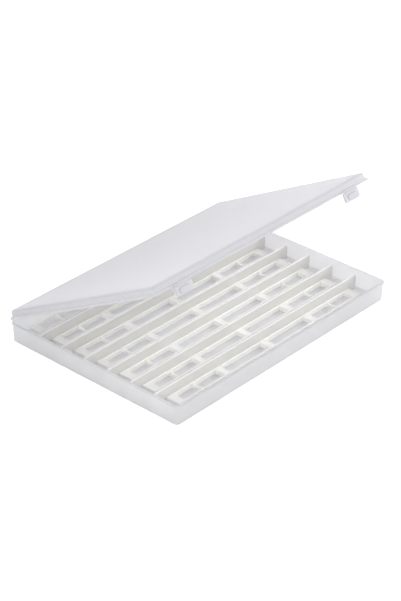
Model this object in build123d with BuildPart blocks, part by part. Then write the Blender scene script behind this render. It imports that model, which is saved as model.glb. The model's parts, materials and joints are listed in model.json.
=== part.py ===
from build123d import *
from math import cos, radians, sin, tan
import os

# A flat fishing rig box: a shallow tray, a stepped lid held a little open, two snap latches,
# six dividers and seven ladder-shaped rig winders. Millimetres and degrees, +Z up.
# The origin is the middle of the tray's underside. The front, with the latches, faces -Y.

# Tray
tray_length = 284.0
tray_width = 203.0
tray_height = 19.5
tray_wall = 1.6
tray_floor = 1.6
tray_corner = 4.0
foot_radius = 0.8
floor_radius = 1.2
wall_draft = 1.5
lip_out = 1.0
lip_height = 2.6
lip_radius = 0.5

# Lid
lid_open = 28.2
lid_height = 8.0
lid_wall = 1.4
lid_top = 1.4
lid_draft = 4.0
lid_edge_radius = 2.4
lid_inner_radius = 1.4
flange_height = 2.0
flange_out = 2.3
flange_radius = 0.4
rim_gap = 0.2

# Hinges, three along the back edge: one in the middle, two set in from the tray's ends
hinge_end_inset = 42.0
knuckle_radius = 1.8
knuckle_gap = 0.2
knuckle_end = 8.0
knuckle_middle = 16.0
knuckle_side_gap = 0.3
pin_radius = 0.8
pin_fit = 0.02
pin_running_fit = 0.08

# Latches on the free edge of the lid, set in from the tray's ends
latch_end_inset = 30.5
latch_width = 21.0
latch_thickness = 1.8
latch_gap = 0.3
latch_ear_gap = 0.3
latch_drop = 9.4
latch_corner = 2.8
latch_top_corner = 0.8
latch_edge = 0.35
pad_width = 12.0
pad_height = 5.2
pad_rise = 0.6
pad_drop = 5.1
pad_corner = 2.0
pad_edge = 0.4
eye_radius = 1.2
eye_width = 14.0
eye_side_gap = 0.3
eye_mouth = 0.8
bar_radius = 0.5
bar_fit = 0.1
ear_thickness = 2.0
hook_width = 12.0
hook_reach = 0.8
hook_height = 2.4
hook_gap = 0.3

# Dividers, which part the tray into rows of one pitch; the row edge is kept back at each wall
row_count = 7
row_edge = 3.5
divider_end_gap = 3.5
divider_thickness = 1.5
divider_top = 16.2
divider_corner = 3.2
divider_edge = 0.3

# Winders, one in each row, set in from the tray's ends, each lying against the divider behind it
winder_left_gap = 18.7
winder_right_gap = 15.3
winder_back_gap = 0.3
winder_width = 15.2
winder_height = 5.0
last_row_shift = 1.6
winder_gap = 0.1
winder_corner = 0.8
winder_edge = 0.35
rail_width = 2.0
end_block = 8.6
bar_width = 6.7
bar_place_share = 0.24
web_inset = 33.0
web_thickness = 1.8
web_dip = 1.4

# One overrun serves every cut
overrun = 1.0

# Places worked out from the sizes above
rim_growth = tray_height * tan(radians(wall_draft))
rim_length = tray_length + 2 * (rim_growth + lip_out)
rim_width = tray_width + 2 * (rim_growth + lip_out)
rim_corner = tray_corner + rim_growth + lip_out
hinge_y = rim_width / 2 + knuckle_gap + knuckle_radius
hinge_z = tray_height + rim_gap / 2
hinge_reach = tray_length / 2 - hinge_end_inset
hinge_places = [-hinge_reach, 0, hinge_reach]
latch_reach = tray_length / 2 - latch_end_inset
latch_places = [-latch_reach, latch_reach]
row_pitch = (tray_width - 2 * row_edge) / row_count
divider_length = tray_length - 2 * divider_end_gap
winder_length = tray_length - winder_left_gap - winder_right_gap
winder_shift = (winder_left_gap - winder_right_gap) / 2
winder_back = (row_pitch - divider_thickness - winder_width) / 2 - winder_back_gap
bar_place = winder_length * bar_place_share
web_place = winder_length / 2 - web_inset

# The lid's own frame: its origin on the hinge axis, X along the axis, Y towards the back, Z out
# of the lid's top. The lid is drawn closed in this frame, and the frame is tilted open.
lid_frame = Plane((0, hinge_y, hinge_z)).rotated((-lid_open, 0, 0))
lid_middle = -hinge_y
lid_rim = rim_gap / 2
lid_front = lid_middle - rim_width / 2
body_length = rim_length - 2 * flange_out
body_width = rim_width - 2 * flange_out
body_corner = rim_corner - flange_out
body_front = lid_front + flange_out
bar_y = lid_front - latch_gap - eye_radius
bar_z = lid_rim + flange_height / 2


def lid_side(x):
    """Plane across the lid at x, drawn in (y, z) of the lid's frame and facing +X."""
    origin = lid_frame.from_local_coords((x, 0, 0))
    return Plane(origin, x_dir=lid_frame.y_dir, z_dir=lid_frame.x_dir)


def lid_face(y):
    """Plane along the lid's front at y, drawn in (x, z) of the lid's frame and facing the front."""
    origin = lid_frame.from_local_coords((0, y, 0))
    return Plane(origin, x_dir=lid_frame.x_dir, z_dir=-lid_frame.y_dir)


def finish(builder, name):
    """Names a finished piece and writes it to its own file."""
    builder.part.label = name
    export_step(builder.part, f"parts/{name}.step")


os.makedirs("parts", exist_ok=True)


# Base tray: a drafted shell with a rounded lip round its rim
def tray_outline(height, inset=0):
    """Rounded outline of the drafted tray wall at a height, moved in by inset."""
    growth = height * tan(radians(wall_draft)) - inset
    with BuildSketch(Plane.XY.offset(height)) as outline:
        RectangleRounded(tray_length + 2 * growth, tray_width + 2 * growth, tray_corner + growth)
    return outline.sketch


with BuildPart() as tray_hollow:
    loft([tray_outline(tray_floor, tray_wall), tray_outline(tray_height + overrun, tray_wall)])
    fillet(tray_hollow.edges().group_by(Axis.Z)[0], floor_radius)

with BuildPart() as tray_lip:
    with BuildSketch(Plane.XY.offset(tray_height - lip_height)):
        RectangleRounded(rim_length, rim_width, rim_corner)
    extrude(amount=lip_height)
    fillet(tray_lip.edges().group_by(Axis.Z)[0], lip_radius)
    fillet(tray_lip.edges().group_by(Axis.Z)[-1], lip_radius)

with BuildPart() as base_tray:
    loft([tray_outline(0), tray_outline(tray_height)])
    fillet(base_tray.edges().group_by(Axis.Z)[0], foot_radius)
    add(tray_lip.part)
    for hinge_x in hinge_places:
        for side in (-1, 1):
            end_middle = hinge_x + side * (knuckle_middle / 2 + knuckle_side_gap + knuckle_end / 2)
            with BuildSketch(Plane.YZ.offset(end_middle)):
                arm_length = hinge_y - rim_width / 2 + lip_out
                arm_height = knuckle_radius - rim_gap / 2
                with Locations((hinge_y - arm_length / 2, tray_height - arm_height / 2)):
                    Rectangle(arm_length, arm_height)
                with Locations((hinge_y, hinge_z)):
                    Circle(knuckle_radius)
                    Circle(pin_radius + pin_fit, mode=Mode.SUBTRACT)
            extrude(amount=knuckle_end / 2, both=True)
    add(tray_hollow.part, mode=Mode.SUBTRACT)
finish(base_tray, "base_tray")


# Lid: a stepped shallow cover, with a flange that lies on the tray's rim when it is shut
def lid_outline(height, inset=0):
    """Rounded outline of the lid's drafted body at a height over its rim, moved in by inset."""
    growth = -height * tan(radians(lid_draft)) - inset
    with BuildSketch(lid_frame.offset(lid_rim + height)) as outline:
        with Locations((0, lid_middle)):
            RectangleRounded(body_length + 2 * growth, body_width + 2 * growth, body_corner + growth)
    return outline.sketch


lid_up = Axis(lid_frame.origin, lid_frame.z_dir)

with BuildPart() as lid_hollow:
    loft([lid_outline(-overrun, lid_wall), lid_outline(lid_height - lid_top, lid_wall)])
    fillet(lid_hollow.edges().group_by(lid_up)[-1], lid_inner_radius)

with BuildPart() as lid_flange:
    with BuildSketch(lid_frame.offset(lid_rim)):
        with Locations((0, lid_middle)):
            RectangleRounded(rim_length, rim_width, rim_corner)
    extrude(amount=flange_height)
    fillet(lid_flange.edges().group_by(lid_up)[-1], flange_radius)

with BuildPart() as lid:
    loft([lid_outline(0), lid_outline(lid_height)])
    fillet(lid.edges().group_by(lid_up)[-1], lid_edge_radius)
    add(lid_flange.part)
    for hinge_x in hinge_places:
        with BuildSketch(lid_side(hinge_x)):
            arm_length = hinge_y - rim_width / 2 + lip_out
            arm_height = knuckle_radius - lid_rim
            with Locations((-arm_length / 2, lid_rim + arm_height / 2)):
                Rectangle(arm_length, arm_height)
            Circle(knuckle_radius)
            Circle(pin_radius + pin_running_fit, mode=Mode.SUBTRACT)
        extrude(amount=knuckle_middle / 2, both=True)
    for latch_x in latch_places:
        for side in (-1, 1):
            ear_middle = latch_x + side * (eye_width / 2 + eye_side_gap + ear_thickness / 2)
            ear_depth = body_front - bar_y
            with BuildSketch(lid_side(ear_middle)):
                with Locations((bar_y, bar_z)):
                    Circle(flange_height / 2)
                with Locations((bar_y + ear_depth / 2, bar_z)):
                    Rectangle(ear_depth, flange_height)
            extrude(amount=ear_thickness / 2, both=True)
        with BuildSketch(lid_side(latch_x)):
            with Locations((bar_y, bar_z)):
                Circle(bar_radius)
        extrude(amount=eye_width / 2 + eye_side_gap + ear_thickness / 2, both=True)
    add(lid_hollow.part, mode=Mode.SUBTRACT)
finish(lid, "lid")


# Latches: a rounded plate under the flange, with a snap-on eye, a thumb pad and a hook for the lip
def make_latch(latch_x):
    """One snap latch, hanging straight down from its bar, which lies in front of the flange."""
    inner_face = lid_front - latch_gap
    outer_face = inner_face - latch_thickness
    top = lid_rim - latch_ear_gap
    bottom = lid_rim - latch_drop
    with BuildPart() as latch:
        with BuildSketch(lid_face(inner_face)):
            with Locations((latch_x, (top + bottom) / 2)):
                plate = Rectangle(latch_width, top - bottom)
            fillet(plate.vertices().group_by(Axis.Y)[0], latch_corner)
            fillet(plate.vertices().group_by(Axis.Y)[-1], latch_top_corner)
        extrude(amount=latch_thickness)
        fillet(latch.faces().sort_by(Axis(lid_frame.origin, -lid_frame.y_dir))[-1].edges(), latch_edge)
        with BuildSketch(lid_face(outer_face)):
            with Locations((latch_x, lid_rim - pad_drop)):
                RectangleRounded(pad_width, pad_height, pad_corner)
        extrude(amount=pad_rise)
        fillet(latch.faces().sort_by(Axis(lid_frame.origin, -lid_frame.y_dir))[-1].edges(), pad_edge)
        with BuildSketch(lid_side(latch_x)):
            with BuildLine():
                catch = lid_rim - rim_gap - lip_height - hook_gap
                Polyline(
                    (inner_face - latch_thickness / 2, catch),
                    (lid_front + hook_reach, catch),
                    (inner_face - latch_thickness / 2, catch - hook_height),
                    close=True,
                )
            make_face()
        extrude(amount=hook_width / 2, both=True)
        with BuildSketch(lid_side(latch_x)):
            neck_low = top - 2 * latch_edge
            neck_high = bar_z - eye_mouth / 2
            with Locations(((inner_face + outer_face) / 2, (neck_low + neck_high) / 2)):
                Rectangle(latch_thickness, neck_high - neck_low)
            with Locations((bar_y, bar_z)):
                Circle(eye_radius)
        extrude(amount=eye_width / 2, both=True)
        with BuildSketch(lid_side(latch_x)):
            with Locations((bar_y, bar_z)):
                Circle(bar_radius + bar_fit)
            with Locations((bar_y + eye_radius, bar_z)):
                Rectangle(2 * eye_radius, eye_mouth)
        extrude(amount=eye_width / 2 + overrun, both=True, mode=Mode.SUBTRACT)
    return latch


finish(make_latch(latch_places[0]), "latch_left")
finish(make_latch(latch_places[1]), "latch_right")


# Hinge pins, flush with the outer ends of the tray's knuckles
def make_hinge_pin(hinge_x):
    """One straight pin through three knuckles."""
    pin_length = knuckle_middle + 2 * (knuckle_side_gap + knuckle_end)
    with BuildPart() as pin:
        with BuildSketch(Plane.YZ.offset(hinge_x)):
            with Locations((hinge_y, hinge_z)):
                Circle(pin_radius)
        extrude(amount=pin_length / 2, both=True)
    return pin


for hinge_x, hinge_name in zip(hinge_places, ("left", "middle", "right")):
    finish(make_hinge_pin(hinge_x), f"hinge_pin_{hinge_name}")


# Dividers: thin strips that stand on the tray's floor, clear of the walls at both ends
def make_divider(number):
    """One divider; number 1 is the nearest to the front."""
    divider_y = (number - row_count / 2) * row_pitch
    divider_height = divider_top - tray_floor
    with BuildPart() as divider:
        with BuildSketch(Plane.XZ.offset(-divider_y)):
            with Locations((0, tray_floor + divider_height / 2)):
                strip = Rectangle(divider_length, divider_height)
            fillet(strip.vertices().group_by(Axis.Y)[-1], divider_corner)
        extrude(amount=divider_thickness / 2, both=True)
        fillet(divider.faces().sort_by(Axis.Z)[-1].edges().filter_by(Axis.X), divider_edge)
    return divider


for number in range(1, row_count):
    finish(make_divider(number), f"divider_{number}")


# Winders: ladders of two rails, two end blocks, three wide bars and two thin hollowed webs
def make_winder(row):
    """One rig winder, lying on the floor in its row; row 1 is the nearest to the front."""
    row_y = (row - (row_count + 1) / 2) * row_pitch + winder_back
    if row == row_count:
        row_y += last_row_shift
    bottom = tray_floor + winder_gap
    slot_width = winder_width - 2 * rail_width
    long_cell = bar_place - bar_width
    end_cell = winder_length / 2 - end_block - bar_place - bar_width / 2
    end_cell_place = bar_place + bar_width / 2 + end_cell / 2
    with BuildPart() as winder:
        with BuildSketch(Plane((winder_shift, row_y, bottom))):
            RectangleRounded(winder_length, winder_width, winder_corner)
            with Locations((-bar_place / 2, 0), (bar_place / 2, 0)):
                RectangleRounded(long_cell, slot_width, winder_corner, mode=Mode.SUBTRACT)
            with Locations((-end_cell_place, 0), (end_cell_place, 0)):
                RectangleRounded(end_cell, slot_width, winder_corner, mode=Mode.SUBTRACT)
        extrude(amount=winder_height)
        fillet(winder.edges().group_by(Axis.Z)[0], winder_edge)
        fillet(winder.edges().group_by(Axis.Z)[-1], winder_edge)
        for side in (-1, 1):
            with BuildSketch(Plane.YZ.offset(winder_shift + side * web_place)):
                with BuildLine():
                    inner = slot_width / 2
                    outer = inner + rail_width / 2
                    top = bottom + winder_height
                    Line((row_y - outer, top), (row_y - inner, top))
                    ThreePointArc((row_y - inner, top), (row_y, top - web_dip), (row_y + inner, top))
                    Polyline(
                        (row_y + inner, top),
                        (row_y + outer, top),
                        (row_y + outer, bottom),
                        (row_y + inner, bottom),
                    )
                    ThreePointArc((row_y + inner, bottom), (row_y, bottom + web_dip), (row_y - inner, bottom))
                    Line((row_y - inner, bottom), (row_y - outer, bottom))
                    Line((row_y - outer, bottom), (row_y - outer, top))
                make_face()
            extrude(amount=web_thickness / 2, both=True)
    return winder


for row in range(1, row_count + 1):
    finish(make_winder(row), f"winder_{row}")
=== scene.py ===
# %% [markdown]
# # A milky rig box with its lid ajar
#
# The object is a flat box for ready-made fishing rigs: a shallow tray, a stepped lid on a pin
# hinge, two snap latches, six thin dividers and seven ladder-shaped rig winders. Nearly all of
# it is moulded polypropylene, so the whole picture is made of pale, slightly see-through walls
# beside opaque white winders. The lesson is how little colour it takes: most of what the eye
# reads comes from rounded edges, thin walls and soft light.
#
# We begin with the imported model, which fixes every size and place.

import json
from math import atan2, cos, radians, sin, tan

import bmesh
import bpy
import numpy as np
from mathutils import Matrix, Vector


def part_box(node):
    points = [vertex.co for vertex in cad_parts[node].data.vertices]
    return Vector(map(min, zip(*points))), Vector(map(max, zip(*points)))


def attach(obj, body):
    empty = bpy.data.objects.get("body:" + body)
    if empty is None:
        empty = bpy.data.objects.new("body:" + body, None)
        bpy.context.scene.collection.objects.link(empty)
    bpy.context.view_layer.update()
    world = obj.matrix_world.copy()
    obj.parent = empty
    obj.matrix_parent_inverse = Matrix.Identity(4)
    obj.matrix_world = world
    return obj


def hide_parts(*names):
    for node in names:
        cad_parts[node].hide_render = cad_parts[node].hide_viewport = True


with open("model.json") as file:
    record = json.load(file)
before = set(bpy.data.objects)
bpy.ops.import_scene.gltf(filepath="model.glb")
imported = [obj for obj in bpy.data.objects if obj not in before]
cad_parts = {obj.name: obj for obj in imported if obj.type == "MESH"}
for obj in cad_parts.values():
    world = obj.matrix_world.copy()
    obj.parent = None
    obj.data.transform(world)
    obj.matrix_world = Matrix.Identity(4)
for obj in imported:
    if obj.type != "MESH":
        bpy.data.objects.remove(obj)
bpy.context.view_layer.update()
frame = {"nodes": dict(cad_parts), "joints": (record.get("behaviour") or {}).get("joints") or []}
mm = 0.001

# %% [markdown]
# ## The box's own sizes
#
# The pieces are surfaces made from formulas, so they need the sizes of the moulding. We could
# copy them all from a drawing, but then a change there would leave the picture behind. So we
# read the big ones from the frame, node by node, and name the small ones, such as walls and
# fillets, where they are first used. Everything is in millimetres until the mesh is written,
# because that is how a mould is drawn.

# %% Sizes read from the frame
joints = {joint["name"]: joint for joint in frame["joints"]}


def node_box(name):
    """The lowest and highest corner of a node at rest, in millimetres."""
    low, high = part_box(name)
    return np.array(low) / mm, np.array(high) / mm


tray_high = node_box("base_tray")[1]
hinge = np.array(joints["lid_hinge"]["pos_m"]) / mm
lid_tilt = radians(-joints["lid_hinge"]["range_deg"][0])
rim_gap = 0.2
knuckle_radius = 1.8
knuckle_gap = 0.2
lip_out = 1.0
wall_draft = radians(1.5)
tray_height = hinge[2] - rim_gap / 2
rim_half = np.array([tray_high[0], hinge[1] - knuckle_radius - knuckle_gap])
foot_half = rim_half - lip_out - tray_height * tan(wall_draft)
tray_corner = 4.0
print("tray foot, mm:", 2 * foot_half, "rim, mm:", 2 * rim_half, "height, mm:", tray_height)

# %% [markdown]
# ## From arrays to meshes
#
# A surface is a grid of points, one row per ring. Joining each row to the next gives its faces,
# and `from_pydata` hands the whole grid over at once. Rings that shrink to a line or a point
# leave doubled vertices, so we merge them: the seam is then closed, the shell is one skin, and
# its faces can all be turned outwards.

# %% Grids, meshes and smooth shading
weld_distance = 0.002
sliver_length = 0.001
hard_edge_degrees = 40


def grid_faces(rows, columns):
    """Quads between neighbouring rows of a grid whose rows close on themselves: a point, the next
    one in its row, and the same two in the following row."""
    row, column = np.mgrid[0:rows - 1, 0:columns]
    following = (column + 1) % columns
    corners = [row * columns + column, row * columns + following,
               (row + 1) * columns + following, (row + 1) * columns + column]
    return np.stack(corners, axis=-1).reshape(-1, 4)


def new_piece(name, points, faces, body, replaces=(), sharp=hard_edge_degrees, lines=None):
    """Makes a mesh object from millimetre points, shades it smooth, hangs it on its body and hides
    the parts it replaces.
    `lines` gives each point a value from 0 to 1, its share of painted edge shade, which a finish
    reads as `painted_edge_shade`."""
    mesh = bpy.data.meshes.new(name)
    mesh.from_pydata((np.asarray(points) * mm).tolist(), [], [list(map(int, f)) for f in faces])
    # Each point's share of painted edge shade, a greyer colour where rounded edges bend the light
    # away.
    if lines is not None:
        layer = mesh.attributes.new("painted_edge_shade", "FLOAT", "POINT")
        layer.data.foreach_set("value", np.asarray(lines, np.float32))
    work = bmesh.new()
    work.from_mesh(mesh)
    bmesh.ops.remove_doubles(work, verts=work.verts, dist=weld_distance * mm)
    bmesh.ops.dissolve_degenerate(work, edges=work.edges, dist=sliver_length * mm)
    bmesh.ops.recalc_face_normals(work, faces=work.faces)
    work.to_mesh(mesh)
    work.free()
    mesh.shade_smooth()
    mesh.set_sharp_from_angle(angle=radians(sharp))
    piece = bpy.data.objects.new(name, mesh)
    bpy.context.scene.collection.objects.link(piece)
    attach(piece, body)
    if replaces:
        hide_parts(*replaces)
    return piece


def join_grids(grids):
    """Stacks several closed-row grids into one list of points and faces."""
    points, faces, start = [], [], 0
    for grid in grids:
        rows, columns = grid.shape[:2]
        points.append(grid.reshape(-1, 3))
        faces.append(grid_faces(rows, columns) + start)
        start += rows * columns
    return np.concatenate(points), np.concatenate(faces)


# %% [markdown]
# ## Rounded rectangles and rounded sections
#
# Tray, lid and latches are all the same kind of shape: a section carried round a rounded
# rectangle. A box with its edges bevelled would come near, but its walls would need a draft and
# its fillets different radii inside and out. So `ring` gives the rectangle for a whole column of
# sizes at once, and `rounded` puts an arc at each corner of a section, which is what a mould
# maker does with a ball cutter.

# %% Rings and sections
corner_steps = 8
side_steps = 12
ring_points = 4 * (corner_steps + side_steps)
tight_turn = radians(12)
tiny = 1e-6


def ring(half_x, half_y, radius):
    """Rounded rectangles, one per row. Each corner is an arc of a quarter turn about a centre that
    lies one radius inside both sides, centre + radius * (cos, sin), and the sides between are
    evenly divided."""
    half_x, half_y, radius = np.broadcast_arrays(half_x, half_y, radius)
    half_x, half_y, radius = (np.atleast_1d(v)[:, None] for v in (half_x, half_y, radius))
    quarter = np.linspace(0, np.pi / 2, corner_steps + 1)[None, :]
    xs, ys = [], []
    for turn, (sign_x, sign_y) in enumerate(((1, 1), (-1, 1), (-1, -1), (1, -1))):
        angle = quarter + turn * np.pi / 2
        xs.append(sign_x * (half_x - radius) + radius * np.cos(angle))
        ys.append(sign_y * (half_y - radius) + radius * np.sin(angle))
    share = np.linspace(0, 1, side_steps + 1)[None, 1:-1]
    points_x, points_y = [], []
    for turn in range(4):
        end_x, end_y = xs[turn][:, -1:], ys[turn][:, -1:]
        next_x, next_y = xs[(turn + 1) % 4][:, :1], ys[(turn + 1) % 4][:, :1]
        points_x += [xs[turn], end_x + share * (next_x - end_x)]
        points_y += [ys[turn], end_y + share * (next_y - end_y)]
    return np.concatenate(points_x, axis=1), np.concatenate(points_y, axis=1)


def rounded(corners, steps=5):
    """A section line through corners given as (offset, height, radius), with an arc in each. An arc
    starts and ends at radius * tan(turn / 2) from its corner, and its points lie on the circle."""
    corners = np.array(corners, float)
    line = [corners[0, :2]]
    for before, here, after in zip(corners[:-2], corners[1:-1], corners[2:]):
        into = (here[:2] - before[:2]) / np.linalg.norm(here[:2] - before[:2])
        out = (after[:2] - here[:2]) / np.linalg.norm(after[:2] - here[:2])
        turn = atan2(into[0] * out[1] - into[1] * out[0], into @ out)
        if here[2] == 0 or abs(turn) < tiny:
            line.append(here[:2])
            continue
        side = np.array([-into[1], into[0]]) * np.sign(turn)
        start = here[:2] - into * here[2] * tan(abs(turn) / 2)
        swept = np.linspace(0, abs(turn), steps + 1)[:, None]
        line += list(start + here[2] * (np.sin(swept) * into + (1 - np.cos(swept)) * side))
    line.append(corners[-1, :2])
    return np.array(line)


def divided_plates(line, runs=10):
    """Divides the first and the last run of a section, its flat plates, into even shorter ones."""
    share = np.linspace(0, 1, runs + 1)[:, None]
    first = line[0] + share * (line[1] - line[0])
    last = line[-2] + share * (line[-1] - line[-2])
    return np.concatenate([first, line[2:-2], last])


def shell(section, half, corner):
    """Points of a section carried round a rectangle: each section point (offset, height) becomes a
    ring whose half sizes and corner radius have all grown by that offset."""
    offset, height = section[:, 0], section[:, 1]
    radius = np.maximum(corner + offset, 0)
    x, y = ring(half[0] + offset, half[1] + offset, radius)
    return np.stack([x, y, np.broadcast_to(height[:, None], x.shape)], axis=-1)


def turning(section):
    """Where a section turns: 0 on its flats and at the ends of an arc, and 1 inside an arc, where
    each step turns by more than `tight_turn`."""
    run = np.diff(section, axis=0)
    heading = np.unwrap(np.arctan2(run[:, 1], run[:, 0]))
    return np.concatenate([[0], np.abs(np.diff(heading)) > tight_turn, [0]])


print("points in a ring:", ring_points)

# %% [markdown]
# ## Colour and nodes
#
# A finish is a small net of shader nodes. They could be placed one by one in the node editor.
# In a script, one function that adds a node, sets it and links it keeps each finish short
# enough to read. Colours are the usual sRGB hex values, and the shader works in linear light,
# so a second function turns one into the other.

# %% Colour and node helpers
def srgb(hex_colour):
    """Linear RGBA of an sRGB hex colour: c / 12.92 near black, ((c + 0.055) / 1.055) ** 2.4 above."""
    parts = [int(hex_colour[i:i + 2], 16) / 255 for i in (1, 3, 5)]
    return [p / 12.92 if p <= 0.04045 else ((p + 0.055) / 1.055) ** 2.4 for p in parts] + [1.0]


def add_node(tree, kind, settings=None, **links):
    """Adds one node, sets its properties and its inputs, and links an input that is given as a
    socket. An input is called by its name, with _ for a space, or by its place: i0, i1 and so on."""
    node = tree.nodes.new(kind)
    for name, value in (settings or {}).items():
        setattr(node, name, value)
    for name, value in links.items():
        key = int(name[1:]) if name[0] == "i" and name[1:].isdigit() else name.replace("_", " ")
        if isinstance(value, bpy.types.NodeSocket):
            tree.links.new(value, node.inputs[key])
        else:
            node.inputs[key].default_value = value
    return node


def new_material(name):
    """An empty node material and its tree."""
    material = bpy.data.materials.new(name)
    material.use_nodes = True
    material.node_tree.nodes.clear()
    return material, material.node_tree


print("linear value of #808080:", round(srgb("#808080")[0], 3))

# %% [markdown]
# ## What every moulded face has
#
# Two things keep a moulded face from looking like flat paint. Its shade drifts a little over
# patches of one or two centimetres, where the melt flowed and cooled unevenly. And its skin has
# a faint orange peel, taken from a spark-finished mould. A photograph of plastic could carry
# both, but noise on Object coordinates has no seams and stays with the piece when it moves.
# The real peel is under 0.1 mm wide, too fine to show here, so it is drawn about a millimetre wide.

# %% Drift and orange peel
polypropylene_ior = 1.49
peel_depth = 0.02
peel_strength = 0.6


def mottled(tree, place, size_mm, low, high):
    """A colour that drifts between two near shades over patches of a size in millimetres."""
    drift = add_node(tree, "ShaderNodeTexNoise", Vector=place, Scale=1 / (size_mm * mm), Detail=2.0)
    return add_node(tree, "ShaderNodeMix", {"data_type": "RGBA"}, Factor=drift.outputs["Fac"],
                    i6=srgb(low), i7=srgb(high)).outputs[2]


def orange_peel(tree, place, grain_mm):
    """The bumpy normal of a moulded skin, from noise as wide as the grain in millimetres."""
    grain = add_node(tree, "ShaderNodeTexNoise", Vector=place, Scale=1 / (grain_mm * mm), Detail=3.0)
    return add_node(tree, "ShaderNodeBump", Height=grain.outputs["Fac"], Distance=peel_depth * mm,
                    Strength=peel_strength).outputs["Normal"]


print("peel drawn, mm deep:", peel_depth)

# %% [markdown]
# ## Natural polypropylene: tray, lid and latches
#
# Polypropylene is milky because crystals inside it scatter light: it has no colour of its own,
# takes the colour of what is behind it when it is thin, and has a soft, slightly waxy gloss
# (IOR about 1.49). Subsurface scattering would be the usual choice, but it wants thick bodies,
# and on walls of 1.6 mm it mostly gives noise. So we lay three parts over each other: a diffuse
# skin, a share of light that crosses the wall from the other side, and a blurred view of what
# stands behind. Rounded edges bend that light away and look like thin grey lines. We paint that
# shade in: the pieces mark their arcs with their own attribute, `painted_edge_shade`, and there the
# finish turns greyer.

# %% Thin milky walls
mottle_size = 22.0
peel_width = 1.2


def thin_wall(tree, place, colour, gloss, through, clear=0.0):
    """The layers of a thin milky wall: (1 - through) of skin and `through` of light that crosses
    the wall softly. `clear` is the share of the skin that shows a blurred view through it."""
    normal = orange_peel(tree, place, peel_width)
    skin = add_node(tree, "ShaderNodeBsdfPrincipled", Base_Color=colour, Roughness=gloss,
                    IOR=polypropylene_ior, Transmission_Weight=clear, Normal=normal)
    glow = add_node(tree, "ShaderNodeBsdfTranslucent", Color=colour, Normal=normal)
    wall = add_node(tree, "ShaderNodeMixShader", i0=through, i1=skin.outputs[0], i2=glow.outputs[0])
    add_node(tree, "ShaderNodeOutputMaterial", Surface=wall.outputs[0])


def milky_polypropylene(name, low, high, line, through, clear, gloss):
    """Moulded natural polypropylene that drifts between two shades, and has a third, `line`, a
    painted edge shade where a rounded edge bends the light away."""
    material, tree = new_material(name)
    place = add_node(tree, "ShaderNodeTexCoord").outputs["Object"]
    # Painted edge shade: where the mesh marks a rounded edge, the colour turns to `line`.
    edge = add_node(tree, "ShaderNodeAttribute", {"attribute_name": "painted_edge_shade"}).outputs["Fac"]
    face = mottled(tree, place, mottle_size, low, high)
    colour = add_node(tree, "ShaderNodeMix", {"data_type": "RGBA"}, Factor=edge, i6=face,
                      i7=srgb(line)).outputs[2]
    thin_wall(tree, place, colour, gloss, through, clear)
    return material


# `line` is painted edge shade, a greyer colour for rounded edges that bend the light away; the
# latches' is darkest.
tray_plastic = milky_polypropylene("natural polypropylene, tray", low="#f5f5f6", high="#f7f7f8",
                                   line="#efeff0", through=0.3, clear=0.45, gloss=0.3)
lid_plastic = milky_polypropylene("natural polypropylene, lid", low="#f3f3f5", high="#f5f5f7",
                                  line="#eeeef1", through=0.6, clear=0.15, gloss=0.35)
latch_plastic = milky_polypropylene("natural polypropylene, latch", low="#f4f4f6", high="#f7f7f9",
                                    line="#d8d8de", through=0.45, clear=0.2, gloss=0.35)
print("milky finishes:", tray_plastic.name, "|", lid_plastic.name, "|", latch_plastic.name)

# %% [markdown]
# ## Milky polypropylene seen on edge: dividers
#
# A divider is a thin strip of the same kind of plastic, a little warmer. Light that enters its
# broad faces travels inside it and leaves at the narrow top, as in an edge-lit sign, so the top
# draws a white line along each row. Tracing light through the strip could give that, slowly and
# with much noise. We blend the shade by height instead, over the last millimetre and a half.

# %% Edge-lit strips
edge_light_from = 14.8
edge_light_full = 15.7


def edge_lit_polypropylene(name, low, high, edge, through, gloss):
    """A thin wall whose shade turns from that of its faces to `edge`, and which lets no more light
    through, as the height goes from `edge_light_from` to `edge_light_full`."""
    material, tree = new_material(name)
    place = add_node(tree, "ShaderNodeTexCoord").outputs["Object"]
    height = add_node(tree, "ShaderNodeSeparateXYZ", Vector=place).outputs["Z"]
    top = add_node(tree, "ShaderNodeMapRange", {"interpolation_type": "SMOOTHSTEP"}, Value=height,
                   From_Min=edge_light_from * mm, From_Max=edge_light_full * mm).outputs[0]
    face = mottled(tree, place, mottle_size, low, high)
    colour = add_node(tree, "ShaderNodeMix", {"data_type": "RGBA"}, Factor=top, i6=face,
                      i7=srgb(edge)).outputs[2]
    crossing = add_node(tree, "ShaderNodeMapRange", Value=top, To_Min=through, To_Max=0.0)
    thin_wall(tree, place, colour, gloss, crossing.outputs[0])
    return material


divider_plastic = edge_lit_polypropylene("milky polypropylene, divider", low="#f1f0ed",
                                         high="#f3f2ef", edge="#fffefc", through=0.2, gloss=0.4)
print("edge-lit finish:", divider_plastic.name)

# %% [markdown]
# ## White polypropylene and drawn steel: winders and hinge pins
#
# The winders are polypropylene filled with white pigment. It hides what is behind, so one opaque
# skin is enough, a little warm and soft in gloss. The hinge pins are cut from drawn wire, which
# keeps fine lines along its length from the die. The real lines are finer than a tenth of a
# millimetre. They are drawn two thirds of a millimetre wide, so that they show at all.

# %% Opaque plastic and wire
winder_mottle_size = 14.0
winder_peel_width = 0.9
die_line_length = 25.0
die_line_width = 2 / 3


def opaque_polypropylene(name, low, high, gloss):
    """White-filled polypropylene: an opaque skin that drifts between two near shades."""
    material, tree = new_material(name)
    place = add_node(tree, "ShaderNodeTexCoord").outputs["Object"]
    colour = mottled(tree, place, winder_mottle_size, low, high)
    skin = add_node(tree, "ShaderNodeBsdfPrincipled", Base_Color=colour, Roughness=gloss,
                    IOR=polypropylene_ior, Normal=orange_peel(tree, place, winder_peel_width))
    add_node(tree, "ShaderNodeOutputMaterial", Surface=skin.outputs[0])
    return material


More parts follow.
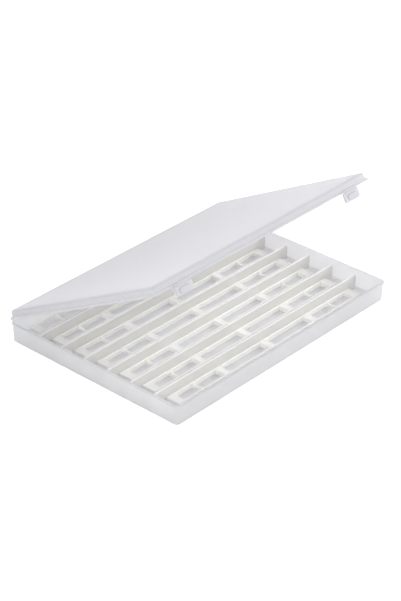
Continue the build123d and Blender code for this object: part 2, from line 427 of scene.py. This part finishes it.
def drawn_steel(name, colour, smooth, rough):
    """Bright drawn wire along X: noise stretched into lines sets its roughness."""
    material, tree = new_material(name)
    place = add_node(tree, "ShaderNodeTexCoord").outputs["Object"]
    stretch = (1 / (die_line_length * mm), 1 / (die_line_width * mm), 1 / (die_line_width * mm))
    along = add_node(tree, "ShaderNodeMapping", Vector=place, Scale=stretch).outputs[0]
    lines = add_node(tree, "ShaderNodeTexNoise", Vector=along, Scale=1.0).outputs["Fac"]
    gloss = add_node(tree, "ShaderNodeMapRange", Value=lines, To_Min=smooth, To_Max=rough)
    skin = add_node(tree, "ShaderNodeBsdfPrincipled", Base_Color=srgb(colour), Metallic=1.0,
                    Roughness=gloss.outputs[0])
    add_node(tree, "ShaderNodeOutputMaterial", Surface=skin.outputs[0])
    return material


def dress(piece, material):
    """Gives a piece one material."""
    piece.data.materials.clear()
    piece.data.materials.append(material)
    return piece


winder_plastic = opaque_polypropylene("white polypropylene, winder", low="#fcfbf7", high="#fefefb",
                                      gloss=0.48)
pin_steel = drawn_steel("drawn steel wire", colour="#c9c9cb", smooth=0.22, rough=0.4)
print("opaque finishes:", winder_plastic.name, "|", pin_steel.name)

# %% [markdown]
# ## The tray
#
# The tray is one moulding: a thin floor and four walls that lean out by the draft the mould
# needs, with a small lip round the rim that the latches hook under. It could be a block with a
# pocket cut out of it, but then each wall would have to be kept even by hand. Here the section
# runs from the middle of the underside, round the foot, up the wall, over the lip, down the
# inside and back to the middle of the floor, so one closed surface gives both sides of every
# wall. At the middle the rings shrink to a line, which closes the plate.

# %% The tray's shell
tray_wall = 1.6
tray_floor = 1.6
foot_radius = 0.8
floor_radius = 1.2
lip_height = 2.6
lip_radius = 0.5
lip_root_radius = 0.15
rim_edge = 0.25


def wall_offset(height):
    """How far the drafted wall stands outside the foot at a height: height * tan(draft)."""
    return height * tan(wall_draft)


to_middle = -foot_half[1]
lip_offset = wall_offset(tray_height) + lip_out
lip_low = tray_height - lip_height
tray_section = divided_plates(rounded([
    (to_middle, 0, 0),
    (0, 0, foot_radius),
    (wall_offset(lip_low), lip_low, lip_root_radius),
    (lip_offset, lip_low, lip_radius),
    (lip_offset, tray_height, lip_radius),
    (wall_offset(tray_height) - tray_wall, tray_height, rim_edge),
    (wall_offset(tray_floor) - tray_wall, tray_floor, floor_radius),
    (to_middle, tray_floor, 0),
]))
tray_grid = shell(tray_section, foot_half, tray_corner)
points, faces = join_grids([tray_grid])
# Painted edge shade on every arc of the tray's section: foot, lip and rim.
lines = np.repeat(turning(tray_section), ring_points)
dress(new_piece("tray_shell", points, faces, "tray", ["base_tray"],
                lines=lines), tray_plastic)
print("tray faces:", len(faces))

# %% [markdown]
# ## Prisms with soft edges
#
# Knuckles, ears, bars and hooks are straight extrusions along X: a closed section, two end caps,
# and a narrow bevel where it shows, because a mould never leaves a perfectly sharp edge. The
# bevel could be worked out with the section, but round the ends it is simpler to leave it to
# the Bevel modifier.

# %% Prisms along X
def prism(section, low_x, high_x):
    """Points and faces of a closed (y, z) section extruded from one x to another."""
    count = len(section)
    section = np.asarray(section, float)
    left = np.column_stack([np.full(count, low_x), section])
    right = np.column_stack([np.full(count, high_x), section])
    sides = [(i, (i + 1) % count, (i + 1) % count + count, i + count) for i in range(count)]
    caps = [tuple(range(count))[::-1], tuple(range(count, 2 * count))]
    return np.concatenate([left, right]), sides + caps


def collar(outline, hole, low_x, high_x):
    """A prism with a round hole: outline and hole are closed (y, z) loops of equal count."""
    count = len(outline)
    loops = [(low_x, hole), (low_x, outline), (high_x, outline), (high_x, hole), (low_x, hole)]
    rows = [np.column_stack([np.full(count, x), loop]) for x, loop in loops]
    return join_grids([np.stack(rows)])


def merged(shapes):
    """Several (points, faces) pairs as one."""
    points, faces, start = [], [], 0
    for shape_points, shape_faces in shapes:
        points.append(shape_points)
        faces += [[int(i) + start for i in face] for face in shape_faces]
        start += len(shape_points)
    return np.concatenate(points), faces


def bevelled(piece, width, steps=3):
    """Rounds a piece's hard edges to a width in millimetres, keeping its faces smooth."""
    bevel = piece.modifiers.new("soft edges", "BEVEL")
    bevel.width = width * mm
    bevel.segments = steps
    bevel.limit_method = "ANGLE"
    bevel.angle_limit = radians(hard_edge_degrees)
    bevel.harden_normals = True
    return piece


# %% [markdown]
# ## The lid's own frame
#
# The lid is drawn shut, in a frame whose X is the hinge axis, and then tilted open about that
# axis. Turning each lid object would do the same, but a finished piece has its place in its
# mesh. Writing the tilt once, as a function on whole arrays, keeps every lid piece in step with
# the joint that moves it.

# %% Tilted places
lid_rim = rim_gap / 2


def in_lid(points):
    """Turns points from the shut lid's frame to their place on the lid as it stands open: with tilt
    t, y goes to y cos(t) + n sin(t), and n, the height over the hinge, to n cos(t) - y sin(t)."""
    x, y, n = np.moveaxis(np.asarray(points, float), -1, 0)
    return np.stack([
        x + hinge[0],
        hinge[1] + y * cos(lid_tilt) + n * sin(lid_tilt),
        hinge[2] - y * sin(lid_tilt) + n * cos(lid_tilt),
    ], axis=-1)


print("lid open by, radians:", round(lid_tilt, 3))

# %% [markdown]
# ## The lid
#
# The lid is a shallow cover with one step: a flange that lies on the tray's rim, and a body that
# stands back from it, so the shut box can be stacked. It is made as the tray is, from its own
# section, and its top edge is well rounded. A thin flat plate never stays perfectly flat when it
# cools, so it sags by a third of a millimetre, enough for its soft gloss to drift across it.

# %% The lid's shell
lid_height = 8.0
lid_wall = 1.4
lid_top = 1.4
lid_draft = radians(4.0)
lid_edge_radius = 2.4
lid_inner_radius = 1.4
flange_height = 2.0
flange_out = 2.3
flange_radius = 0.4
flange_foot_radius = 0.2
flange_root_radius = 0.3
plate_sag = 0.3
plate_margin = 0.01
lid_middle = -hinge[1]
lid_front = lid_middle - rim_half[1]
body_half = rim_half - flange_out
body_corner = tray_corner + lip_offset - flange_out


def lid_offset(height):
    """How far the drafted body stands outside its own foot at a height over the rim, which is
    -height * tan(draft), as it leans in."""
    return -height * tan(lid_draft)


to_lid_middle = -body_half[1]
inner_top = lid_height - lid_top
lid_section = divided_plates(rounded([
    (to_lid_middle, inner_top, 0),
    (lid_offset(inner_top) - lid_wall, inner_top, lid_inner_radius),
    (-lid_wall, 0, flange_foot_radius),
    (flange_out, 0, flange_foot_radius),
    (flange_out, flange_height, flange_radius),
    (lid_offset(flange_height), flange_height, flange_root_radius),
    (lid_offset(lid_height), lid_height, lid_edge_radius),
    (to_lid_middle, lid_height, 0),
]))
lid_grid = shell(lid_section, body_half, body_corner)
across = np.clip(1 - (lid_grid[..., 0] / body_half[0]) ** 2, 0, 1)
along = np.clip(1 - (lid_grid[..., 1] / body_half[1]) ** 2, 0, 1)
in_plate = lid_grid[..., 2] > inner_top - plate_margin
lid_grid[..., 2] += np.where(in_plate, -plate_sag * across * along, 0)
lid_grid += [0, lid_middle, lid_rim]
points, faces = join_grids([in_lid(lid_grid)])
# Painted edge shade on every arc of the lid's section.
lines = np.repeat(turning(lid_section), ring_points)
dress(new_piece("lid_shell", points, faces, "lid", ["lid"], lines=lines),
      lid_plastic)
print("lid faces:", len(faces))

# %% [markdown]
# ## The hinge
#
# Three short hinges join the lid to the tray. Each has two knuckles on the tray, one between them
# on the lid, and a steel pin. A knuckle is an arm that ends in an eye. It could be a cylinder
# and a block joined by a Boolean, but a single outline is cleaner: the reach of the arm or of the
# round, whichever is further, seen from the pin at each angle.

# %% Knuckles
knuckle_end = 8.0
knuckle_middle = 16.0
knuckle_side_gap = 0.3
pin_radius = 0.8
pin_fit = 0.02
pin_running_fit = 0.08
eye_steps = 48


def middle_x(node):
    """The middle of a node along X, in millimetres."""
    low, high = node_box(node)
    return float(low[0] + high[0]) / 2


def knuckle(arm_low, arm_high, hole_radius, low_x, high_x):
    """An eye on an arm that reaches towards the front, about an axis at (0, 0). At each angle the
    arm reaches to the nearer of its end, length / -cos, and of its top or bottom face, height /
    sin, and the outline is that or the eye's radius, whichever is more."""
    angle = np.linspace(0, 2 * np.pi, eye_steps, endpoint=False)
    y, z = np.cos(angle), np.sin(angle)
    arm_length = knuckle_radius + knuckle_gap + lip_out
    to_end = np.where(y < -tiny, arm_length / np.maximum(-y, tiny), 0)
    level = np.where(np.abs(z) > tiny, z, np.inf)
    to_face = np.where(z > 0, arm_high, arm_low) / level
    reach = np.maximum(knuckle_radius, np.minimum(to_end, np.maximum(to_face, 0)))
    outline = np.column_stack([reach * y, reach * z])
    hole = hole_radius * np.column_stack([y, z])
    return collar(outline, hole, low_x, high_x)


tray_knuckles, lid_knuckles = [], []
for hinge_part in ("left", "middle", "right"):
    pin = f"hinge_pin_{hinge_part}"
    place = middle_x(pin)
    dress(frame["nodes"][pin], pin_steel)
    for side in (-1, 1):
        near = place + side * (knuckle_middle / 2 + knuckle_side_gap)
        far = near + side * knuckle_end
        points, faces = knuckle(-knuckle_radius, -rim_gap / 2, pin_radius + pin_fit,
                                min(near, far), max(near, far))
        tray_knuckles.append((points + [0, hinge[1], hinge[2]], faces))
    points, faces = knuckle(lid_rim, knuckle_radius, pin_radius + pin_running_fit,
                            place - knuckle_middle / 2, place + knuckle_middle / 2)
    lid_knuckles.append((in_lid(points), faces))
points, faces = merged(tray_knuckles)
dress(new_piece("tray_knuckles", points, faces, "tray", ["base_tray"]),
      tray_plastic)
points, faces = merged(lid_knuckles)
dress(new_piece("lid_knuckles", points, faces, "lid", ["lid"]), lid_plastic)
print("knuckles on the tray:", len(tray_knuckles), "on the lid:", len(lid_knuckles))

# %% [markdown]
# ## The latches
#
# A latch is a small rounded plate that hangs under the lid's flange, with a raised pad for the
# thumb. It could be modelled from a bevelled box with an inset face, but its corners are tighter
# at the top than at the bottom, and the pad has a soft cove round its foot. So the plate is a
# list of outlines, one behind the other: back edge, front edge, foot of the pad, edge of the
# pad. A ring shrunk to a point closes each face.

# %% Latch plates
latch_gap = 0.3
latch_thickness = 1.8
latch_ear_gap = 0.3
latch_drop = 9.4
latch_corner = 2.8
latch_top_corner = 0.8
latch_least_corner = 0.05
latch_edge = 0.35
latch_back_edge = 0.2
latch_half = 10.5
pad_half = (6.0, 2.6)
pad_rise = 0.6
pad_drop = 5.1
pad_corner = 2.0
pad_least_corner = 0.1
pad_edge = 0.4
pad_cove = 0.2
edge_turns = np.linspace(0, np.pi / 2, 6)


def latch_ring(inset, depth):
    """The plate's outline at a depth behind its front, drawn in by an inset. The upper half of one
    rounded rectangle is joined to the lower half of another with larger corners."""
    half = (latch_half - inset, (latch_drop - latch_ear_gap) / 2 - inset)
    x_low, z_low = ring(*half, latch_corner - inset)
    x_top, z_top = ring(*half, max(latch_top_corner - inset, latch_least_corner))
    x, z = np.where(z_low > 0, (x_top, z_top), (x_low, z_low))
    z = z[0] - (latch_drop + latch_ear_gap) / 2
    return np.column_stack([x[0], np.full(z.shape, depth), z])


def pad_ring(inset, depth):
    """The thumb pad's outline at a depth, drawn in by an inset; a negative one flares it out."""
    corner = max(pad_corner - inset, pad_least_corner)
    x, z = ring(pad_half[0] - inset, pad_half[1] - inset, corner)
    return np.column_stack([x[0], np.full(x[0].shape, depth), z[0] - pad_drop])


def point_ring(depth, height):
    """A ring shrunk to a point on the plate."""
    return np.tile([0.0, depth, height], (ring_points, 1))


def rolled(radius, turn):
    """The two distances of a rolled edge at a turn: radius * (1 - cos) and radius * (1 - sin)."""
    return radius * (1 - np.cos(turn)), radius * (1 - np.sin(turn))


back_edge, front_edge, pad_foot, pad_top = [], [], [], []
for turn in edge_turns:
    inset, depth = rolled(latch_back_edge, turn)
    back_edge.insert(0, latch_ring(inset, latch_thickness - depth))
    front_edge.append(latch_ring(*rolled(latch_edge, turn)))
    depth, flare = rolled(pad_cove, turn)
    pad_foot.append(pad_ring(-flare, -depth))
    inset, depth = rolled(pad_edge, turn)
    pad_top.append(pad_ring(inset, -pad_rise + depth))
latch_plate = np.stack([point_ring(latch_thickness, -latch_drop / 2)] + back_edge + front_edge
                       + pad_foot + pad_top + [point_ring(-pad_rise, -pad_drop)])
# Painted edge shade: dark outlines on the plate's rolled front edge and round the foot and edge of
# the thumb pad.
ring_edge_shade = np.zeros(len(latch_plate))
edge_start = 1 + len(back_edge)
pad_start = edge_start + len(front_edge)
ring_edge_shade[edge_start + 1:pad_start - 1] = 1
ring_edge_shade[pad_start + 1:-2] = 1
latch_edge_shade = np.repeat(ring_edge_shade, ring_points)
print("rings in a latch plate:", len(latch_plate))

# %% [markdown]
# ## Eyes, hooks and the bars that carry them
#
# The plate hangs by an eye that lies in front of the flange, between two ears. The eye is a C in
# section, open towards the lid, so the latch can be pressed on its bar, and a neck joins it to
# the plate. The hook is a wedge: its flat top catches the tray's lip, and its sloping underside
# lets it ride over the lip when the lid is shut. All of them have one section along their whole
# width, so each is a prism.

# %% Latches and their ears
eye_radius = 1.2
eye_width = 14.0
eye_side_gap = 0.3
eye_mouth = 0.8
bar_radius = 0.5
bar_fit = 0.1
ear_thickness = 2.0
ear_root = 0.6
ear_shrink = 0.03
ear_edge = 0.15
ear_edge_steps = 2
hook_width = 12.0
hook_reach = 0.8
hook_height = 2.4
hook_gap = 0.3
latch_crease_degrees = 32
latch_inner = lid_front - latch_gap
latch_outer = latch_inner - latch_thickness
bar_y = latch_inner - eye_radius
bar_n = lid_rim + flange_height / 2
neck_low = -latch_ear_gap - latch_edge - flange_height / 2


def arc(radius, first, last, steps=25):
    """Points (y, n) on a circle about the bar, from one angle to another."""
    angle = np.linspace(first, last, steps)
    return np.column_stack([bar_y + radius * np.cos(angle), bar_n + radius * np.sin(angle)])


def eye_and_neck():
    """The closed section of the C and its neck: over the outer arc to the plate's front, down into
    the plate, up its back, and round the bore from one lip of the mouth to the other. A lip is
    where half the mouth's height meets a circle, at the angle arcsin(half height / radius)."""
    bore = bar_radius + bar_fit
    lip_angle = np.arcsin(eye_mouth / 2 / eye_radius)
    bore_angle = np.arcsin(eye_mouth / 2 / bore)
    front_angle = 2 * np.pi - np.arccos((latch_outer - bar_y) / eye_radius)
    neck = [[latch_outer, bar_n + neck_low], [latch_inner, bar_n + neck_low],
            [latch_inner, bar_n - eye_mouth / 2]]
    return np.concatenate([arc(eye_radius, lip_angle, front_angle), neck,
                           arc(bore, 2 * np.pi - bore_angle, bore_angle)])


def ear_section():
    """An ear as high as the flange, rounded about the bar and rooted in the flange."""
    nose = flange_height / 2 - ear_shrink
    root = lid_front + ear_root
    return np.concatenate([arc(nose, np.pi / 2, 3 * np.pi / 2),
                           [[root, bar_n - nose], [root, bar_n + nose]]])


def make_latch(side):
    """The latch on one side, and the ears and bar that hold it on the lid."""
    place = middle_x(f"latch_{side}")
    catch = lid_rim - rim_gap - lip_height - hook_gap
    hook = [(latch_inner - latch_thickness / 2, catch), (lid_front + hook_reach, catch),
            (latch_inner - latch_thickness / 2, catch - hook_height)]
    points, faces = merged([
        join_grids([latch_plate + [place, latch_outer, lid_rim]]),
        prism(eye_and_neck(), place - eye_width / 2, place + eye_width / 2),
        prism(hook, place - hook_width / 2, place + hook_width / 2),
    ])
    # No painted edge shade on the eye and the hook.
    lines = np.pad(latch_edge_shade, (0, len(points) - len(latch_edge_shade)))
    latch = new_piece(f"latch_{side}_moulding", in_lid(points), faces, f"latch_{side}",
                      [f"latch_{side}"], sharp=latch_crease_degrees, lines=lines)
    dress(latch, latch_plastic)
    near = eye_width / 2 + eye_side_gap
    bar_end = near + ear_thickness / 2
    far = near + ear_thickness
    ears = [prism(ear_section(), place - far, place - near),
            prism(ear_section(), place + near, place + far)]
    bar = prism(arc(bar_radius, 0, 2 * np.pi)[:-1], place - bar_end, place + bar_end)
    points, faces = merged(ears + [bar])
    ear_pair = new_piece(f"lid_ears_{side}", in_lid(points), faces, "lid",
                         ["lid"])
    bevelled(dress(ear_pair, lid_plastic), ear_edge, ear_edge_steps)
    return latch


latches = [make_latch(side) for side in ("left", "right")]
print("latch faces:", [len(latch.data.polygons) for latch in latches])

# %% [markdown]
# ## The dividers
#
# Six thin strips part the tray into seven rows. A strip is the same kind of shape as the tray,
# a rounded rectangle with a rolled edge, only stood on its side: its outline lies in X and Z,
# and its thickness runs along Y. A bevelled box would have the same radius at every corner.
# These have well rounded top corners and a nearly square foot, so that the strip stands flat on
# the floor from end to end.

# %% Dividers
divider_corner = 3.2
divider_foot_corner = 0.3
divider_edge = 0.3
divider_edge_turns = np.linspace(0, np.pi / 2, 5)


def standing_strip(low, high):
    """A strip that fills a box: rings that follow a quarter circle at each face's edge, inset by
    edge * (1 - sin) and back from the face by edge * (1 - cos). The upper half of a ring has the
    top corners' radius, and the lower half has the foot's."""
    half = (high - low) / 2
    inset = divider_edge * (1 - np.sin(divider_edge_turns))
    depth = half[1] - divider_edge * (1 - np.cos(divider_edge_turns))
    inset = np.concatenate([[half[2]], inset, inset[::-1], [half[2]]])
    across = np.concatenate([[-half[1]], -depth, depth[::-1], [half[1]]])
    top = ring(half[0] - inset, half[2] - inset, np.maximum(divider_corner - inset, 0))
    foot = ring(half[0] - inset, half[2] - inset, np.maximum(divider_foot_corner - inset, 0))
    x, z = np.where(top[1] > 0, top, foot)
    y = np.broadcast_to(across[:, None], x.shape)
    return (low + high) / 2 + np.stack([x, y, z], axis=-1)


divider_names = sorted(name for name in frame["nodes"] if name.startswith("divider_"))
for name in divider_names:
    points, faces = join_grids([standing_strip(*node_box(name))])
    dress(new_piece(f"{name}_strip", points, faces, "tray", [name]),
          divider_plastic)
print("dividers:", len(divider_names))

# %% [markdown]
# ## The rig winders
#
# A winder is a ladder: two rails joined by end blocks, three wide bars and two thin webs. Line is
# wound round it lengthwise, and the hooks are pushed over a bar. Its cells could be cut out of a
# plate with a Boolean, which leaves untidy faces. We draw the plate on a grid of lines instead,
# leave out the cells that are holes, and wall up every edge between a filled cell and an empty
# one. The webs are hollowed on top and underneath along a circle's arc, which we get by lowering
# the grid's heights there. A bevel then rounds every edge.

# %% Winders
rail_width = 2.0
end_block = 8.6
bar_width = 6.7
bar_place_share = 0.24
web_inset = 33.0
web_thickness = 1.8
web_dip = 1.4
web_divisions = 10
winder_edge = 0.5
winder_crease_degrees = 30


def plate_with_cells(x_lines, y_lines, filled, top, bottom):
    """Points and faces of a plate on a grid of lines. Filled cells get a top and a bottom face, and
    each grid edge with a filled cell on one side only gets a wall from bottom to top."""
    count_x, count_y = len(x_lines), len(y_lines)
    x, y = np.meshgrid(x_lines, y_lines, indexing="ij")
    points = np.concatenate([np.stack([x, y, top], -1).reshape(-1, 3),
                             np.stack([x, y, bottom], -1).reshape(-1, 3)])
    under = count_x * count_y
    i, j = np.nonzero(filled)
    corner = i * count_y + j
    roof = np.column_stack([corner, corner + count_y, corner + count_y + 1, corner + 1])
    padded = np.pad(filled, 1)
    i, j = np.nonzero(padded[:-1, 1:-1] != padded[1:, 1:-1])
    start = i * count_y + j
    walls_y = np.column_stack([start, start + 1, start + 1 + under, start + under])
    i, j = np.nonzero(padded[1:-1, :-1] != padded[1:-1, 1:])
    start = i * count_y + j
    walls_x = np.column_stack([start, start + count_y, start + count_y + under, start + under])
    faces = np.concatenate([roof, roof[:, ::-1] + under, walls_y, walls_x])
    used, faces = np.unique(faces, return_inverse=True)
    return points[used], faces.reshape(-1, 4)


def winder_shape(low, high):
    """A winder that fills a box. A web is hollowed by sqrt(r * r - y * y) - (r - dip), which is a
    circle through both its ends, with r = (half width squared + dip squared) / (2 * dip)."""
    middle, half = (low + high) / 2, (high - low) / 2
    inner = half[1] - rail_width
    length = 2 * half[0]
    bar, web = length * bar_place_share, half[0] - web_inset
    solids = [(-half[0], -half[0] + end_block), (half[0] - end_block, half[0])]
    solids += [(place - bar_width / 2, place + bar_width / 2) for place in (-bar, 0, bar)]
    webs = [(place - web_thickness / 2, place + web_thickness / 2) for place in (-web, web)]
    x_lines = np.sort(np.array(solids + webs).ravel())
    y_lines = np.concatenate([[-half[1]], np.linspace(-inner, inner, web_divisions + 1), [half[1]]])
    filled = np.zeros((len(x_lines) - 1, len(y_lines) - 1), bool)
    filled[::2] = True
    filled[:, [0, -1]] = True
    radius = (inner ** 2 + web_dip ** 2) / (2 * web_dip)
    hollow = np.sqrt(radius ** 2 - np.minimum(np.abs(y_lines), inner) ** 2) - (radius - web_dip)
    on_web = np.isin(x_lines, np.array(webs).ravel())
    dip = on_web[:, None] * hollow[None, :]
    points, faces = plate_with_cells(x_lines, y_lines, filled, half[2] - dip, dip - half[2])
    return points + middle, faces


winder_names = sorted(name for name in frame["nodes"] if name.startswith("winder_"))
for name in winder_names:
    points, faces = winder_shape(*node_box(name))
    winder = new_piece(f"{name}_ladder", points, faces, name, [name],
                       sharp=winder_crease_degrees)
    bevelled(dress(winder, winder_plastic), winder_edge)
print("winders:", len(winder_names))

# %% [markdown]
# ## The floor
#
# The picture is a plain catalogue view on white card. Lighting the card until it is pure white
# would bleach the object too. So the card takes the lamps' light and the object's shadow as
# card does, and only gains a glow where it is seen: for the camera, for a reflection, and
# through clear plastic. It never lights the object more than card would.

# %% White card
floor_reach = 2.5
floor_drop = 0.0003
glow_for_camera = 0.62
glow_seen_in_plastic = 0.95


def lit_card(name, hex_colour):
    """White card that gains an even glow when it is seen: one glow on a camera ray, another on a
    glossy or transmission ray that isn't diffuse, and none on a ray that lights something."""
    material, tree = new_material(name)
    path = add_node(tree, "ShaderNodeLightPath")
    mirror = add_node(tree, "ShaderNodeMath", {"operation": "MAXIMUM"},
                      i0=path.outputs["Is Glossy Ray"], i1=path.outputs["Is Transmission Ray"])
    clear = add_node(tree, "ShaderNodeMath", {"operation": "SUBTRACT", "use_clamp": True},
                     i0=mirror.outputs[0], i1=path.outputs["Is Diffuse Ray"])
    indirect = add_node(tree, "ShaderNodeMath", {"operation": "MULTIPLY"}, i0=clear.outputs[0],
                        i1=glow_seen_in_plastic)
    amount = add_node(tree, "ShaderNodeMath", {"operation": "MULTIPLY_ADD"},
                      i0=path.outputs["Is Camera Ray"], i1=glow_for_camera, i2=indirect.outputs[0])
    light = add_node(tree, "ShaderNodeEmission", Color=srgb("#ffffff"), Strength=amount.outputs[0])
    card = add_node(tree, "ShaderNodeBsdfDiffuse", Color=srgb(hex_colour))
    seen = add_node(tree, "ShaderNodeAddShader", i0=card.outputs[0], i1=light.outputs[0])
    add_node(tree, "ShaderNodeOutputMaterial", Surface=seen.outputs[0])
    return material


bpy.ops.mesh.primitive_plane_add(size=2 * floor_reach, location=(0, 0, -floor_drop))
floor = bpy.context.object
floor.name = "floor"
dress(floor, lit_card("white card", "#f8f8f8"))
print("floor, m across:", 2 * floor_reach)

# %% [markdown]
# ## The light
#
# A box of milky plastic shows little but its edges, so the light has to differ from side to
# side: a dome alone would turn it into fog. A dim, nearly white dome fills the shadows, and five
# large soft lamps stand round the box. The strongest two are behind it and to its right, and
# those shine through the walls and the dividers. The left and front ones are weak, and
# keep the near walls a little greyer. To the camera the sky is plain white.

# %% Dome and lamps
dome_strength = 0.41
box_middle = (0, 0, 0.03)
lamps = [
    ("back, high", (0.0, 1.5, 1.3), (1.4, 0.9), 18.7),
    ("right", (1.7, -0.6, 0.8), (1.0, 0.8), 18.2),
    ("left", (-1.7, -0.6, 0.8), (1.0, 0.8), 8.2),
    ("front, high", (0.0, -1.35, 1.45), (1.4, 0.9), 4.9),
    ("front, low", (0.0, -1.85, 0.85), (1.4, 0.8), 3.5),
]
world = bpy.context.scene.world or bpy.data.worlds.new("sky")
bpy.context.scene.world = world
world.use_nodes = True
sky = world.node_tree
sky.nodes.clear()
dome = add_node(sky, "ShaderNodeBackground", Color=srgb("#fdfdff"), Strength=dome_strength)
white = add_node(sky, "ShaderNodeBackground", Color=srgb("#ffffff"), Strength=1.0)
path = add_node(sky, "ShaderNodeLightPath")
mix = add_node(sky, "ShaderNodeMixShader", i0=path.outputs["Is Camera Ray"], i1=dome.outputs[0],
               i2=white.outputs[0])
add_node(sky, "ShaderNodeOutputWorld", Surface=mix.outputs[0])


def soft_lamp(name, place, aim, size, power):
    """A white area lamp of a width and height at a place in metres, turned to face a point."""
    data = bpy.data.lights.new(name, "AREA")
    data.shape = "RECTANGLE"
    data.size, data.size_y = size
    data.energy = power
    lamp = bpy.data.objects.new(name, data)
    lamp.location = place
    lamp.rotation_euler = (Vector(aim) - Vector(place)).to_track_quat("-Z", "Y").to_euler()
    bpy.context.scene.collection.objects.link(lamp)


for name, place, size, power in lamps:
    soft_lamp(name, place, box_middle, size, power)
print("lamps, W:", {name: power for name, place, size, power in lamps})

# %% [markdown]
# ## The camera
#
# It could be set by eye, but small errors in its angle show as rows that don't run where they
# should. So it was found by fitting the tray's corners, rims and rows to the photograph. It
# stands to the left and in front, looks down by about 31 degrees and is far away, with a long
# lens, so parallel edges stay nearly parallel.

# %% Camera
image_width = 401
focal_pixels = 1990.9
fit_scale = 284.0 / 280.0
azimuth = radians(-47.907)
elevation = radians(30.958)
roll = radians(0.183)
distance = 1803.0 * fit_scale
aim_side = -0.565 * fit_scale
aim_rise = 16.973 * fit_scale
aim_point = Vector((0.0, -0.17 * fit_scale, 0.0))
sensor_width = 36.0
view_reach = 20.0

back = Vector((sin(azimuth) * cos(elevation), -cos(azimuth) * cos(elevation), sin(elevation)))
level_right = Vector((cos(azimuth), sin(azimuth), 0.0))
level_up = back.cross(level_right)
right = level_right * cos(roll) + level_up * sin(roll)
up = back.cross(right)
camera_data = bpy.data.cameras.new("camera")
camera_data.sensor_width = sensor_width
camera_data.sensor_fit = "HORIZONTAL"
camera_data.lens = focal_pixels / image_width * sensor_width
camera_data.clip_end = view_reach
camera = bpy.data.objects.new("camera", camera_data)
turned = Matrix((right, up, back)).transposed().to_4x4()
stand = aim_point + right * aim_side + up * aim_rise + back * distance
camera.matrix_world = Matrix.Translation(stand * mm) @ turned
bpy.context.scene.collection.objects.link(camera)
bpy.context.scene.camera = camera
print("camera at, m:", [round(v, 3) for v in stand * mm], "lens, mm:", round(camera_data.lens, 1))

# %% [markdown]
# ## Finish
#
# The view transform is set to Standard, so colours render as they are written. Light crosses
# many thin walls here before it reaches the camera, and with few bounces the rows would go
# dark, so we allow more than the usual number.

# %% Colour and bounces
wall_bounces = 32
all_bounces = 48
bpy.context.scene.view_settings.view_transform = "Standard"
bpy.context.scene.cycles.max_bounces = all_bounces
bpy.context.scene.cycles.diffuse_bounces = wall_bounces
bpy.context.scene.cycles.transmission_bounces = wall_bounces
